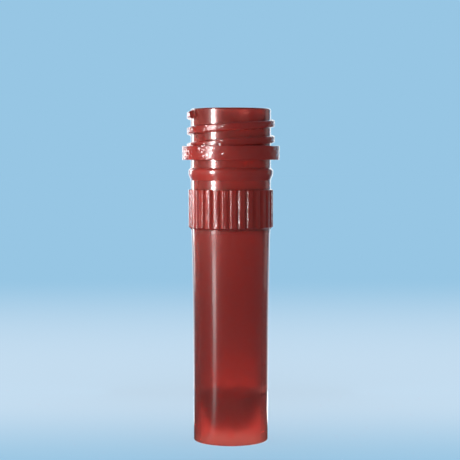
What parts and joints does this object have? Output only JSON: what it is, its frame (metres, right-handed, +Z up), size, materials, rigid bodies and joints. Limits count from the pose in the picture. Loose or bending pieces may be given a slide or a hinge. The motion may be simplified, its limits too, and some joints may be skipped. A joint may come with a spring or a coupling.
{
  "type": "microcentrifuge tube",
  "caption": "Screw-neck micro tube with a standing skirt, conical floor, grip ribs, cap-stop collar and external cap thread, in translucent brown-red plastic.",
  "frame": {"origin": "middle of the foot, on the surface that the tube stands on", "axes": "+Z up the tube's axis to the mouth, -Y towards whoever reads it; the cap thread crosses +X at 40.91 mm"},
  "size_m": [0.0132, 0.0132, 0.045],
  "materials": {
    "polished_polypropylene": "gloss",
    "textured_polypropylene": "spark-eroded matt"
  },
  "bodies": {
    "root": {"neck": "polished_polypropylene", "cap_thread": "textured_polypropylene", "collar": "textured_polypropylene", "retaining_bead": "polished_polypropylene", "grip_ribs": "textured_polypropylene", "barrel": "polished_polypropylene", "conical_floor": "polished_polypropylene", "standing_skirt": "polished_polypropylene"}
  },
  "joints": []
}
